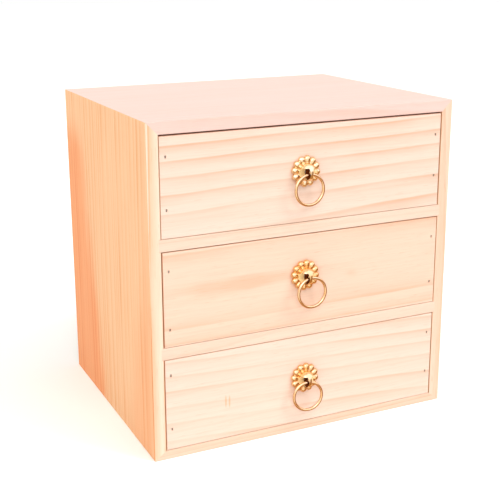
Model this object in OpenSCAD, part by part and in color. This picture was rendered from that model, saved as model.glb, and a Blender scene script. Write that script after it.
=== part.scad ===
// Desktop mini drawers: a small pine cabinet with three drawers, each drawn by a gilt ring pull.
// The origin is the middle of the cabinet's underside. The drawers face -Y, and +Z is up.

/* [Cabinet] */
// Width of the cabinet over its side boards
case_w = 250; // [200:1:360]
// Depth of the cabinet from front edge to back face
case_d = 200; // [140:1:320]
// Clear height of the lower drawer's bay
lower_bay_h = 71; // [55:0.5:120]
// Clear height of the middle drawer's bay
middle_bay_h = 71.5; // [55:0.5:120]
// Clear height of the upper drawer's bay
upper_bay_h = 73.5; // [55:0.5:120]
// Thickness of the two side boards
side_t = 9; // [8:0.5:15]
// Thickness of the top board
top_t = 9; // [8:0.5:15]
// Thickness of the bottom board
bottom_t = 7; // [6.5:0.5:15]
// Thickness of the two shelves
shelf_t = 9; // [6:0.5:15]
// Depth of the housing that takes each shelf end
housing_depth = 1.5; // [0.5:0.1:3]
// Thickness of the back panel
panel_t = 4; // [2.5:0.5:6]
// Width of the ledge that the back panel lies on
ledge_w = 5; // [4:0.5:5.5]
// Play all round the edge of the back panel
panel_play = 0.3; // [0.1:0.1:0.6]

/* [Drawers] */
// Thickness of the drawer fronts
front_t = 9; // [7:0.5:14]
// Thickness of the drawer sides
drawer_side_t = 9; // [6:0.5:12]
// Thickness of the drawer backs
drawer_back_t = 9; // [6:0.5:12]
// Thickness of the drawer floors
floor_t = 3; // [2:0.5:5]
// Height of the floor's groove above the drawer's foot
groove_up = 4; // [3:0.5:8]
// Depth of the groove that holds the floor
groove_depth = 3; // [2:0.5:4]
// Play of the floor in its groove
floor_play = 0.15; // [0.05:0.05:0.4]
// Gap on each side of a drawer in the middle of its bay
side_gap = 0.6; // [0.5:0.1:2]
// Gap above the lower drawer's front
lower_gap = 0.4; // [0.3:0.1:2.5]
// Gap above the middle drawer's front
middle_gap = 0.6; // [0.3:0.1:2.5]
// Gap above the upper drawer's front
upper_gap = 1.2; // [0.3:0.1:2.5]
// Running gap under a drawer
foot_gap = 0.2; // [0.1:0.05:0.5]
// Gap between a shut drawer and the back panel, which stops it
stop_gap = 0.3; // [0.2:0.1:1]
// How far the drawer's sides and back stop short of the front's top edge
side_drop = 3; // [1:0.5:10]
// Width of the eased arris round a drawer front
ease = 0.4; // [0.2:0.1:1.2]

/* [Brads and pins] */
// Thickness of a brad, which is a flat strip of steel
brad_t = 1.1; // [0.8:0.1:1.5]
// Width of a brad's shank
brad_w = 1.2; // [0.9:0.1:1.5]
// Width of a brad's head
brad_head_w = 2; // [1.7:0.1:2.6]
// Height of a brad's head
brad_head_h = 0.8; // [0.5:0.1:1.5]
// Length of a drawer brad
brad_l = 20; // [15:1:30]
// Length of a pin that holds the back panel
pin_l = 12; // [9:0.5:16]
// Depth of a brad's head below the wood
brad_sink = 0.5; // [0.1:0.1:0.8]
// Height of the upper brads, down from the front's top edge
brad_down = 15; // [8:0.5:20]
// Height of the lower brads, up from the front's foot
brad_up = 18; // [12:0.5:24]
// Clearance round a brad in its hole
brad_fit = 0.02; // [0.01:0.01:0.05]
// Pins along each edge of the back panel
pins_per_edge = 3; // [2:1:5]

/* [Rosette] */
// Diameter of the rosette over its petals
rosette_d = 23.4; // [21:0.2:28]
// Number of petals round the rosette
petal_count = 12; // [9:1:14]
// Width of a petal's round end
petal_w = 5.2; // [4:0.1:6]
// Height of a petal's round centre above the drawer front
petal_up = 0.8; // [0.4:0.1:1.2]
// Thickness of the plate under the petals
plate_t = 1.2; // [0.8:0.1:1.8]
// Diameter of the round knob in the middle
knob_d = 13; // [12:0.1:14]
// How far the knob stands out from the drawer front
knob_out = 10.6; // [10.3:0.1:12]
// Diameter of the eye through the knob, where it is narrowest
eye_d = 4.5; // [4.3:0.1:5]
// Diameter of the eye's flared mouths
mouth_d = 9; // [8.6:0.1:9.4]
// Distance of the eye's middle from the drawer front
eye_out = 7.3; // [7:0.1:7.6]
// Distance of the eye's middle below the rosette's middle
eye_low = 0.6; // [0.2:0.1:0.9]
// Width of the narrow part of the eye
eye_web = 1.2; // [0.8:0.1:1.6]
// Steepness of the flare, out across the eye for one along it
flare_slope = 2; // [1.6:0.1:2.4]
// Height of the mouths' flat roof above the eye's middle
roof_up = 4; // [3.9:0.1:4.3]

/* [Ring] */
// Outer diameter of the ring
ring_d = 24.9; // [23:0.1:30]
// Diameter of the ring's wire
wire_d = 2.3; // [1.8:0.1:2.4]
// Play under the wire in the narrow part of the eye
ring_play = 0.3; // [0.2:0.05:0.4]

/* [Pull screw] */
// Diameter of the screw that holds a pull
screw_d = 4; // [3:0.5:4]
// Diameter of the screw's head
screw_head_d = 8; // [7:0.5:9]
// Height of the screw's head
screw_head_h = 2.6; // [2:0.1:3.2]
// Length of the thread inside the rosette
thread_l = 3.2; // [2.5:0.1:3.3]
// Clearance round the screw inside the rosette
thread_fit = 0.05; // [0.02:0.01:0.08]
// Clearance round the screw inside the drawer front
screw_fit = 0.3; // [0.1:0.1:0.6]
// Length of the crossed slots in the screw's head
slot_l = 4.8; // [3.6:0.2:6]
// Width of the slots in the screw's head
slot_w = 1; // [0.8:0.1:1.4]
// Depth of the slots in the screw's head
slot_depth = 1.6; // [1:0.1:1.8]

/* [Hidden] */
// These lists run from the lower drawer to the upper one.
bay_h = [lower_bay_h, middle_bay_h, upper_bay_h];
top_gap = [lower_gap, middle_gap, upper_gap];
// How far each drawer sits to one side in its bay
drawer_x = [-0.1, 0.15, -0.25];
// Sideways place of each pull on its drawer, and its height above the middle of its front
pull_x = [-1.9, -2.85, -2.85];
pull_rise = [1.3, 4.1, 2.05];
// How far each ring has slid through its eye, and how far it is turned about the vertical
ring_lean = [-2, 14, 0];
ring_turn = [7, 0, 0];
// Hand-driven brads: how far each one strays upwards, as upper left, lower left, upper right, lower right
brad_stray = [[2.8, -1.9, -1.0, 2.6], [0.9, -4.9, -0.7, -0.3], [0.7, 2.3, -1.0, 6.0]];

lower = 0;
middle = 1;
upper = 2;

// Heights of the three bays' floors and of the whole cabinet
bay_z = [
  bottom_t,
  bottom_t + lower_bay_h + shelf_t,
  bottom_t + lower_bay_h + shelf_t + middle_bay_h + shelf_t
];
case_h = bay_z[upper] + upper_bay_h + top_t;
front_y = -case_d / 2;
ledge_y = case_d / 2 - panel_t;
inner_w = case_w - 2 * side_t;

// A drawer, outside
drawer_w = inner_w - 2 * side_gap;
drawer_back_y = ledge_y - stop_gap;
drawer_back_inner_y = drawer_back_y - drawer_back_t;
front_inner_y = front_y + front_t;
brad_x = drawer_w / 2 - drawer_side_t / 2;
foot_z = [for (k = [lower:upper]) bay_z[k] + foot_gap];
front_h = [for (k = [lower:upper]) bay_h[k] - foot_gap - top_gap[k]];

// Rosette and ring
petal_r = petal_w / 2;
petal_ring_r = rosette_d / 2 - petal_r;
knob_r = knob_d / 2;
knob_centre = knob_out - knob_r;
// Turn of the petals against the eye, in degrees
petal_phase = -7;
// Radius of a petal's stem where it leaves the knob, as a share of the petal's own
stem_share = 0.6;
ring_r = (ring_d - wire_d) / 2;
hang = eye_d / 2 - wire_d / 2 - ring_play;
pull_z = [for (k = [lower:upper]) foot_z[k] + front_h[k] / 2 + pull_rise[k]];

// Length of a brad's chisel point, and the width of its blunt end
point_l = 1.5;
point_w = 0.3;
// How far cutting shapes run past a surface
over = 1;
// How far the eye's mouths are cut past the knob's sides
mouth_clear = 0.3;
// Facets of round shapes
$fn = 48;

pine_side = [0.96, 0.76, 0.55];
pine_face = [0.98, 0.88, 0.76];
pine_inside = [0.93, 0.82, 0.68];
gilt = [0.93, 0.72, 0.32];
steel = [0.62, 0.61, 0.60];

// A block from its lowest corner to its highest one
module block(low, high) {
  translate(low)
    cube(high - low);
}

// An outline drawn across X and Z, as seen from the front, run from one depth to another
module run_back(from_y, to_y) {
  translate([0, to_y, 0])
    rotate([90, 0, 0])
      linear_extrude(to_y - from_y)
        children();
}

// ---- Brads, pins and their holes ----

// An outline with x as depth along +Y and y as height, made a flat strip across X
module strip(thickness) {
  translate([-thickness / 2, 0, 0])
    rotate([90, 0, 90])
      linear_extrude(thickness)
        children();
}

// A brad driven along +Y, its head upright and under the wood's face at y = 0
module brad(length) {
  neck = brad_sink + brad_head_h;
  end = brad_sink + length;
  strip(brad_t)
    polygon([
      [brad_sink, -brad_head_w / 2],
      [neck, -brad_head_w / 2],
      [neck, -brad_w / 2],
      [end - point_l, -brad_w / 2],
      [end, -point_w / 2],
      [end, point_w / 2],
      [end - point_l, brad_w / 2],
      [neck, brad_w / 2],
      [neck, brad_head_w / 2],
      [brad_sink, brad_head_w / 2]
    ]);
}

// The slot that the same brad cuts, open at the wood's face
module brad_hole(length) {
  neck = brad_sink + brad_head_h;
  end = brad_sink + length + brad_fit;
  head = brad_head_w / 2 + brad_fit;
  shank = brad_w / 2 + brad_fit;
  strip(brad_t + 2 * brad_fit)
    polygon([
      [-over, -head],
      [neck, -head],
      [neck, -shank],
      [end, -shank],
      [end, shank],
      [neck, shank],
      [neck, head],
      [-over, head]
    ]);
}

// Where drawer k sits in its bay
module at_drawer(k) {
  translate([drawer_x[k], 0, 0])
    children();
}

// Places of the four brads in the front of drawer k, each aimed into the end of a drawer side
module at_front_brads(k) {
  for (side = [0, 1]) {
    x = side == 0 ? -brad_x : brad_x;
    high = foot_z[k] + front_h[k] - brad_down + brad_stray[k][2 * side];
    low = foot_z[k] + brad_up + brad_stray[k][2 * side + 1];
    for (z = [high, low])
      translate([x, front_y, z])
        children();
  }
}

// Places of the four brads in the back of drawer k, driven the other way
module at_back_brads(k) {
  for (x = [-brad_x, brad_x])
    for (z = [foot_z[k] + front_h[k] - side_drop - brad_down, foot_z[k] + brad_up])
      translate([x, drawer_back_y, z])
        rotate([0, 0, 180])
          children();
}

// Places of the pins along the four edges of the back panel, each in the middle of its ledge, its head along the edge
module at_panel_pins() {
  edge_x = inner_w / 2 + ledge_w / 2;
  low_z = bottom_t - ledge_w / 2;
  high_z = case_h - top_t + ledge_w / 2;
  for (k = [1:pins_per_edge]) {
    share = k / (pins_per_edge + 1);
    for (x = [-edge_x, edge_x])
      translate([x, case_d / 2, low_z + (high_z - low_z) * share])
        rotate([0, 0, 180])
          children();
    for (z = [low_z, high_z])
      translate([edge_x * (2 * share - 1), case_d / 2, z])
        rotate([0, 90, 180])
          children();
  }
}

// ---- Cabinet: boards mitred at the corners, shelves housed in the sides ----

// What the back panel needs: a rebate round the four boards, and the pins' holes
module back_cuts() {
  block(
    [-inner_w / 2 - ledge_w, ledge_y, bottom_t - ledge_w],
    [inner_w / 2 + ledge_w, case_d / 2 + over, case_h - top_t + ledge_w]
  );
  at_panel_pins() brad_hole(pin_l);
}

// Housings for both shelves, cut right through from front to back
module housings() {
  for (k = [middle:upper])
    block(
      [-inner_w / 2 - housing_depth, front_y - over, bay_z[k] - shelf_t],
      [inner_w / 2 + housing_depth, case_d / 2, bay_z[k]]
    );
}

// A side board, its top and bottom ends mitred from outer corner to inner corner
module side_board() {
  color(pine_side)
    difference() {
      run_back(front_y, case_d / 2)
        polygon([
          [-case_w / 2, 0],
          [-inner_w / 2, bottom_t],
          [-inner_w / 2, case_h - top_t],
          [-case_w / 2, case_h]
        ]);
      housings();
      back_cuts();
    }
}

module left_side() {
  side_board();
}

module right_side() {
  mirror([1, 0, 0])
    side_board();
}

module top_board() {
  color(pine_face)
    difference() {
      run_back(front_y, case_d / 2)
        polygon([
          [-case_w / 2, case_h],
          [-inner_w / 2, case_h - top_t],
          [inner_w / 2, case_h - top_t],
          [case_w / 2, case_h]
        ]);
      back_cuts();
    }
}

module bottom_board() {
  color(pine_face)
    difference() {
      run_back(front_y, case_d / 2)
        polygon([[-case_w / 2, 0], [case_w / 2, 0], [inner_w / 2, bottom_t], [-inner_w / 2, bottom_t]]);
      back_cuts();
    }
}

// The shelf under bay k, its ends in the housings
module shelf(k) {
  color(pine_face)
    block(
      [-inner_w / 2 - housing_depth, front_y, bay_z[k] - shelf_t],
      [inner_w / 2 + housing_depth, ledge_y, bay_z[k]]
    );
}

module back_panel() {
  half_w = inner_w / 2 + ledge_w - panel_play;
  color(pine_inside)
    difference() {
      block(
        [-half_w, ledge_y, bottom_t - ledge_w + panel_play],
        [half_w, case_d / 2, case_h - top_t + ledge_w - panel_play]
      );
      at_panel_pins() brad_hole(pin_l);
    }
}

module panel_pins() {
  color(steel)
    at_panel_pins() brad(pin_l);
}

// ---- Drawers ----

// The floor's groove in drawer k, which is the floor with its play
module floor_groove(k) {
  low_x = drawer_w / 2 - drawer_side_t + groove_depth;
  block(
    [-low_x, front_inner_y - groove_depth, foot_z[k] + groove_up],
    [low_x, drawer_back_inner_y + groove_depth, foot_z[k] + groove_up + floor_t + floor_play]
  );
}

// A front board with its face edges eased: a full block cut by two bevelled outlines
module eased_board(low, high) {
  intersection() {
    block(low, high);
    translate([0, 0, low[2] - over])
      linear_extrude(high[2] - low[2] + 2 * over)
        polygon([
          [low[0] + ease, low[1]],
          [high[0] - ease, low[1]],
          [high[0], low[1] + ease],
          [high[0], high[1]],
          [low[0], high[1]],
          [low[0], low[1] + ease]
        ]);
    translate([low[0] - over, 0, 0])
      rotate([90, 0, 90])
        linear_extrude(high[0] - low[0] + 2 * over)
          polygon([
            [low[1], low[2] + ease],
            [low[1] + ease, low[2]],
            [high[1], low[2]],
            [high[1], high[2]],
            [low[1] + ease, high[2]],
            [low[1], high[2] - ease]
          ]);
  }
}

module front_board(k) {
  color(pine_face)
    at_drawer(k)
      difference() {
        eased_board(
          [-drawer_w / 2, front_y, foot_z[k]],
          [drawer_w / 2, front_inner_y, foot_z[k] + front_h[k]]
        );
        floor_groove(k);
        at_front_brads(k) brad_hole(brad_l);
        translate([pull_x[k], front_y - over, pull_z[k]])
          rotate([-90, 0, 0])
            cylinder(d = screw_d + 2 * screw_fit, h = front_t + 2 * over);
      }
}

// A side wall of drawer k, on the left for side = -1 and on the right for side = 1
module side_wall(k, side) {
  outer = side * drawer_w / 2;
  inner = side * (drawer_w / 2 - drawer_side_t);
  color(pine_inside)
    at_drawer(k)
      difference() {
        block(
          [min(outer, inner), front_inner_y, foot_z[k]],
          [max(outer, inner), drawer_back_inner_y, foot_z[k] + front_h[k] - side_drop]
        );
        floor_groove(k);
        at_front_brads(k) brad_hole(brad_l);
        at_back_brads(k) brad_hole(brad_l);
      }
}

module back_wall(k) {
  color(pine_inside)
    at_drawer(k)
      difference() {
        block(
          [-drawer_w / 2, drawer_back_inner_y, foot_z[k]],
          [drawer_w / 2, drawer_back_y, foot_z[k] + front_h[k] - side_drop]
        );
        floor_groove(k);
        at_back_brads(k) brad_hole(brad_l);
      }
}

module floor_board(k) {
  half_w = drawer_w / 2 - drawer_side_t + groove_depth - floor_play;
  color(pine_inside)
    at_drawer(k)
      block(
        [-half_w, front_inner_y - groove_depth + floor_play, foot_z[k] + groove_up],
        [half_w, drawer_back_inner_y + groove_depth - floor_play, foot_z[k] + groove_up + floor_t]
      );
}

module front_brads(k) {
  color(steel)
    at_drawer(k)
      at_front_brads(k) brad(brad_l);
}

module back_brads(k) {
  color(steel)
    at_drawer(k)
      at_back_brads(k) brad(brad_l);
}

// ---- Pulls ----
// A pull is drawn lying on its back: its own z is the distance out from the drawer front, and y points up.

module place_pull(k) {
  at_drawer(k)
    translate([pull_x[k], front_y, pull_z[k]])
      rotate([90, 0, 0])
        children();
}

// A petal: a round bead at the rim and a stem that widens from the knob to it
module petal() {
  translate([petal_ring_r, 0, petal_up])
    sphere(petal_r);
  translate([knob_r - over, 0, petal_up])
    rotate([0, 90, 0])
      cylinder(r1 = petal_r * stem_share, r2 = petal_r, h = petal_ring_r - knob_r + over);
}

// The eye, a spool-shaped passage along x: narrow in the middle and flared to each mouth.
// A flat roof keeps the knob whole above the mouths.
module eye() {
  flare_l = (mouth_d - eye_d) / 2 / flare_slope;
  mouth_x = eye_web / 2 + flare_l;
  end_x = knob_r + mouth_clear;
  translate([0, -eye_low, eye_out])
    intersection() {
      rotate([0, 90, 0])
        rotate_extrude()
          polygon([
            [0, -end_x],
            [mouth_d / 2, -end_x],
            [mouth_d / 2, -mouth_x],
            [eye_d / 2, -eye_web / 2],
            [eye_d / 2, eye_web / 2],
            [mouth_d / 2, mouth_x],
            [mouth_d / 2, end_x],
            [0, end_x]
          ]);
      block([-knob_d, -knob_d, -knob_d], [knob_d, roof_up, knob_d]);
    }
}

module rosette(k) {
  color(gilt)
    place_pull(k)
      difference() {
        union() {
          cylinder(r = petal_ring_r, h = plate_t);
          for (n = [0:petal_count - 1])
            rotate([0, 0, petal_phase + n * 360 / petal_count])
              petal();
          cylinder(r = knob_r, h = knob_centre);
          translate([0, 0, knob_centre])
            sphere(knob_r);
        }
        eye();
        translate([0, 0, -knob_d])
          cylinder(r = rosette_d, h = knob_d);
        translate([0, 0, -over])
          cylinder(d = screw_d + 2 * thread_fit, h = over + thread_l + thread_fit);
      }
}

// The ring hangs in the eye and turns about a line along x through its wire's middle
module ring(k) {
  color(gilt)
    place_pull(k)
      translate([0, -eye_low - hang, eye_out])
        rotate([0, -ring_turn[k], 0])
          rotate([0, 0, ring_lean[k]])
            translate([0, -ring_r, 0])
              rotate_extrude()
                translate([ring_r, 0])
                  circle(d = wire_d);
}

// The screw comes from inside the drawer, through the front and into the rosette
module screw(k) {
  color(steel)
    place_pull(k)
      difference() {
        union() {
          translate([0, 0, -front_t - screw_head_h])
            cylinder(d = screw_head_d, h = screw_head_h);
          translate([0, 0, -front_t - screw_head_h / 2])
            cylinder(d = screw_d, h = front_t + screw_head_h / 2 + thread_l);
        }
        for (turn = [0, 90])
          rotate([0, 0, turn])
            block(
              [-slot_l / 2, -slot_w / 2, -front_t - screw_head_h - over],
              [slot_l / 2, slot_w / 2, -front_t - screw_head_h + slot_depth]
            );
      }
}

left_side();
right_side();
top_board();
bottom_board();
shelf(middle);  // lower_shelf
shelf(upper);  // upper_shelf
back_panel();
panel_pins();
front_board(lower);  // lower_front
side_wall(lower, -1);  // lower_left_wall
side_wall(lower, 1);  // lower_right_wall
back_wall(lower);  // lower_back_wall
floor_board(lower);  // lower_floor
front_brads(lower);  // lower_front_brads
back_brads(lower);  // lower_back_brads
rosette(lower);  // lower_rosette
ring(lower);  // lower_ring
screw(lower);  // lower_screw
front_board(middle);  // middle_front
side_wall(middle, -1);  // middle_left_wall
side_wall(middle, 1);  // middle_right_wall
back_wall(middle);  // middle_back_wall
floor_board(middle);  // middle_floor
front_brads(middle);  // middle_front_brads
back_brads(middle);  // middle_back_brads
rosette(middle);  // middle_rosette
ring(middle);  // middle_ring
screw(middle);  // middle_screw
front_board(upper);  // upper_front
side_wall(upper, -1);  // upper_left_wall
side_wall(upper, 1);  // upper_right_wall
back_wall(upper);  // upper_back_wall
floor_board(upper);  // upper_floor
front_brads(upper);  // upper_front_brads
back_brads(upper);  // upper_back_brads
rosette(upper);  // upper_rosette
ring(upper);  // upper_ring
screw(upper);  // upper_screw
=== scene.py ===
# %% [markdown]
# # Desktop mini drawers
# A small pine cabinet with three drawers stands on a pale floor. Its solids come from the packed
# CAD model and stay as they are. This lesson gives each board its grain and its softened edges,
# and each ring pull its cast petals and its gilt shine.

# %% Load the fixed frame
import math

import bmesh
import bpy
import numpy as np
from mathutils import Matrix, Vector
from mathutils.bvhtree import BVHTree


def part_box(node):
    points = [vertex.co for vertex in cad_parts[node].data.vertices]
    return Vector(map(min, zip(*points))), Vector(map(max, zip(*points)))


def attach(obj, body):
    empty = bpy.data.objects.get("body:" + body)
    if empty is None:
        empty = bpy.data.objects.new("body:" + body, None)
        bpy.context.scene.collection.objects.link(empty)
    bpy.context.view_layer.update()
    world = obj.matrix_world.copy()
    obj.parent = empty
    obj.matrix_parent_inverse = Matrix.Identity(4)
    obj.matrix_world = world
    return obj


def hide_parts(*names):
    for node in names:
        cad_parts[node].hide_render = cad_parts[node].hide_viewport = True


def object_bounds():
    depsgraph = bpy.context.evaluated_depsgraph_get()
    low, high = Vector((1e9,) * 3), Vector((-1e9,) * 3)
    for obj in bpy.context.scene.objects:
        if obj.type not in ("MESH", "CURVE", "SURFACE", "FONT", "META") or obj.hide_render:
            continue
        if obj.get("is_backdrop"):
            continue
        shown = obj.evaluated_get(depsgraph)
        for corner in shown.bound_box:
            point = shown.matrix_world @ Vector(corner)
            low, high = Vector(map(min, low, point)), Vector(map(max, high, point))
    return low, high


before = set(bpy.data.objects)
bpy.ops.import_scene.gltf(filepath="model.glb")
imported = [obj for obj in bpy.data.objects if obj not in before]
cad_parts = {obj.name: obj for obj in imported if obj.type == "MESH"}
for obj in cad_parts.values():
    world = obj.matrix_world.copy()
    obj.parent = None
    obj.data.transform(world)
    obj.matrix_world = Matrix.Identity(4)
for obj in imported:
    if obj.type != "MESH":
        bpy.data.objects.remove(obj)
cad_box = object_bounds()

MM = 0.001
DRAWERS = ("lower", "middle", "upper")
print("CAD box, mm:", [[round(v / MM, 1) for v in corner] for corner in cad_box])

# %% [markdown]
# ## Camera
# The photograph looks down on the left front corner of the cabinet. A camera can be placed by
# eye, or worked out from corners whose real places are known. Here it was worked out, from the
# cabinet's corners and the drawers' edges, so a size on the model lands on the right pixel.

# %% Camera
look_right = Vector((0.90724158, -0.420568, -0.0059386))
look_up = Vector((0.11429928, 0.23292745, 0.96575384))
look_back = Vector((-0.4047819, -0.87685082, 0.25939209))
stand = Vector((-0.34136, -0.71558, 0.35362))
cabinet_middle = Vector((0, 0, 0.125))
camera_data = bpy.data.cameras.new("camera")
camera_data.lens = 70.81
camera_data.sensor_width = 36
camera_data.shift_x = 0.024
camera_data.shift_y = -0.05
camera = bpy.data.objects.new("camera", camera_data)
turn = Matrix((look_right, look_up, look_back)).transposed().to_4x4()
camera.matrix_world = Matrix.Translation(stand) @ turn
bpy.context.scene.collection.objects.link(camera)
bpy.context.scene.camera = camera
bpy.context.scene.view_settings.view_transform = "Standard"
print("camera stands", round((stand - cabinet_middle).length, 2), "m away")

# %% [markdown]
# ## Wiring helpers
# Materials and Geometry Nodes are both trees of nodes. Adding and linking nodes one by one fills
# pages, so a small bench does it: each call adds one node, fills its inputs, and gives an output.
# Two more sets of helpers give a tree named inputs, and turn what was edited or what a tree made
# into a plain mesh on an object.

# %% The bench
class Bench:
    """Adds nodes to one tree; an input is a plain value or another node's output."""

    def __init__(self, tree):
        self.tree = tree

    def add(self, kind, inputs=None, out=0, **settings):
        made = self.tree.nodes.new(kind)
        for name, value in settings.items():
            setattr(made, name, value)
        for key, value in (inputs or {}).items():
            self.fill(made.inputs[key], value)
        return made.outputs[out]

    def fill(self, socket, value):
        """Links an output to the socket, or sets the socket's own value."""
        if isinstance(value, bpy.types.NodeSocket):
            self.tree.links.new(value, socket)
        else:
            socket.default_value = value

    def math(self, operation, *values):
        return self.add("ShaderNodeMath", dict(enumerate(values)), operation=operation)

    def plus(self, first, second):
        return self.math("ADD", first, second)

    def less(self, first, second):
        return self.math("SUBTRACT", first, second)

    def over(self, first, second):
        return self.math("DIVIDE", first, second)

    def vector(self, operation, *values):
        return self.add("ShaderNodeVectorMath", dict(enumerate(values)), operation=operation)

    def place(self):
        return self.add("ShaderNodeTexCoord", out="Object")

    def noise(self, place, stretch, detail=2.0, out="Fac"):
        """Soft noise; stretch is how many of its waves fit in one unit along each axis."""
        scaled = self.vector("MULTIPLY", place, stretch)
        inputs = {"Vector": scaled, "Scale": 1.0, "Detail": detail}
        return self.add("ShaderNodeTexNoise", inputs, out=out)

    def blend(self, amount, first, second, mode="MIX"):
        inputs = {0: amount, 6: first, 7: second}
        return self.add("ShaderNodeMix", inputs, 2, data_type="RGBA", blend_type=mode)

    def split(self, vector):
        made = self.tree.nodes.new("ShaderNodeSeparateXYZ")
        self.fill(made.inputs[0], vector)
        return made.outputs

    def join(self, x=0.0, y=0.0, z=0.0):
        return self.add("ShaderNodeCombineXYZ", {0: x, 1: y, 2: z})

    def product(self, *values):
        result = values[0]
        for value in values[1:]:
            result = self.math("MULTIPLY", result, value)
        return result

    def rise(self, value, start, end, low=0.0, high=1.0):
        """A smooth step from low to high while the value goes from start to end."""
        inputs = {"Value": value, "From Min": start, "From Max": end, "To Min": low, "To Max": high}
        return self.add("ShaderNodeMapRange", inputs, interpolation_type="SMOOTHSTEP")

    def paint(self, shader, shade, rough):
        self.fill(shader.inputs["Base Color"], shade)
        self.fill(shader.inputs["Roughness"], rough)

    def relief(self, shader, strength, depth, height):
        """Lets the light see a height that the surface doesn't have; depth is in mm."""
        inputs = {"Strength": strength, "Distance": depth * MM, "Height": height}
        self.fill(shader.inputs["Normal"], self.add("ShaderNodeBump", inputs))


def colour(red, green, blue):
    return (red, green, blue, 1.0)


print("bench tools:", [name for name in vars(Bench) if not name.startswith("_")])

# %% Sockets and settings of a Geometry Nodes tree
def add_socket(tree, name, kind, way="INPUT"):
    return tree.interface.new_socket(name, in_out=way, socket_type="NodeSocket" + kind)


def new_tree(name, settings):
    """A tree with named inputs: lengths in mm, a whole number as it is, and the metal."""
    tree = bpy.data.node_groups.new(name, "GeometryNodeTree")
    add_socket(tree, "Geometry", "Geometry")
    for key, value in settings.items():
        count = isinstance(value, int)
        made = add_socket(tree, key, "Int" if count else "Float")
        made.default_value = value if count else value * MM
    add_socket(tree, "Metal", "Material")
    add_socket(tree, "Geometry", "Geometry", "OUTPUT")
    return tree


def add_tree(holder, tree, settings):
    """Puts a tree on an object and sets its inputs by their identifiers."""
    work = holder.modifiers.new(tree.name, "NODES")
    work.node_group = tree
    for item in tree.interface.items_tree:
        if item.in_out == "INPUT" and item.name in settings:
            work[item.identifier] = settings[item.name]


def place_and_dress(b, points, piece, rotation, metal):
    """Ends a tree: one piece on each point, made real and given its metal."""
    setting = {"Points": points, "Instance": piece, "Rotation": rotation}
    placed = b.add("GeometryNodeInstanceOnPoints", setting)
    real = b.add("GeometryNodeRealizeInstances", {"Geometry": placed})
    dressed = b.add("GeometryNodeSetMaterial", {"Geometry": real, "Material": metal})
    b.fill(b.tree.nodes.new("NodeGroupOutput").inputs[0], dressed)


print("sizes in mm are stored times", MM)

# %% From an edited shape to an object
def to_mesh(shape, name):
    mesh = bpy.data.meshes.new(name)
    shape.to_mesh(mesh)
    shape.free()
    return mesh


def to_object(mesh, name):
    made = bpy.data.objects.new(name, mesh)
    bpy.context.scene.collection.objects.link(made)
    return made


def plain_mesh(holder, name):
    """Turns what a tree or modifiers made into a plain mesh on its own object."""
    made = bpy.data.meshes.new_from_object(holder.evaluated_get(bpy.context.evaluated_depsgraph_get()))
    bpy.data.objects.remove(holder)
    return to_object(made, name)


# %% [markdown]
# ## Pine
# Pine is pale early wood with a darker, sharper line of late wood at the end of each year's
# ring. A flat picture of stripes would be simplest, but it would not turn the corner onto an
# edge or an end. So the tree itself is described: rings round a pith line beside the board,
# bent a little as the trunk grew. Wherever a saw cut goes, the right pattern shows. Years differ,
# so the rings do too, but an evenness input steadies them where a real board's bands were
# measured. All lengths in the group are millimetres.

# %% Inputs of the grain group
GRAIN_SIZES = {
    "Seed": 0.0, "Pith across": 60.0, "Pith depth": 60.0, "Ring spacing": 4.5, "Wave": 1.0,
    "Strength": 0.8, "Taper": 0.012, "Knot along": 0.0, "Knot across": 0.0, "Knot size": 0.001,
    "End grain": 0.0, "Evenness": 0.0,
}
GRAIN_RESULTS = {"Colour": "Color", "Roughness": "Float", "Height": "Float"}


def new_grain_group():
    group = bpy.data.node_groups.new("pine grain", "ShaderNodeTree")
    add_socket(group, "Place", "Vector")
    for name, value in GRAIN_SIZES.items():
        add_socket(group, name, "Float").default_value = value
    for name in ("Early wood", "Late wood", "Line wood"):
        add_socket(group, name, "Color")
    for name, kind in GRAIN_RESULTS.items():
        add_socket(group, name, kind, "OUTPUT")
    return group


print("grain sizes:", ", ".join(GRAIN_SIZES))

# %% The trunk's slow bends and its small wobbles
HALF = (0.5, 0.5, 0.5)
SEED_SHIFT = (31.7, 17.3, 11.9)
SLOW_BEND = (0.0055, 0.016, 0.016)
SLOW_REACH = (5.0, 5.0, 5.0)
SMALL_BEND = (0.022, 0.07, 0.07)


def bend_trunk(b, given):
    """A place of its own in the log for each seed, and the bent place that the rings follow."""
    place = given["Place"]
    seeds = b.join(given["Seed"], given["Seed"], given["Seed"])
    wood = b.vector("ADD", place, b.vector("MULTIPLY", seeds, SEED_SHIFT))
    slow = b.vector("SUBTRACT", b.noise(wood, SLOW_BEND, 1.0, "Color"), HALF)
    small = b.vector("SUBTRACT", b.noise(wood, SMALL_BEND, 2.0, "Color"), HALF)
    wave = b.join(given["Wave"], given["Wave"], given["Wave"])
    bent = b.vector("ADD", place, b.vector("MULTIPLY", slow, b.vector("MULTIPLY", wave, SLOW_REACH)))
    return wood, b.vector("ADD", bent, b.vector("MULTIPLY", small, wave))


print("one slow bend is about", round(1 / SLOW_BEND[0]), "mm long")

# %% Distance from the pith
KNOT_LENGTH = 2.2
KNOT_REACH = -0.18
KNOT_PUSH = 0.9


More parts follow.
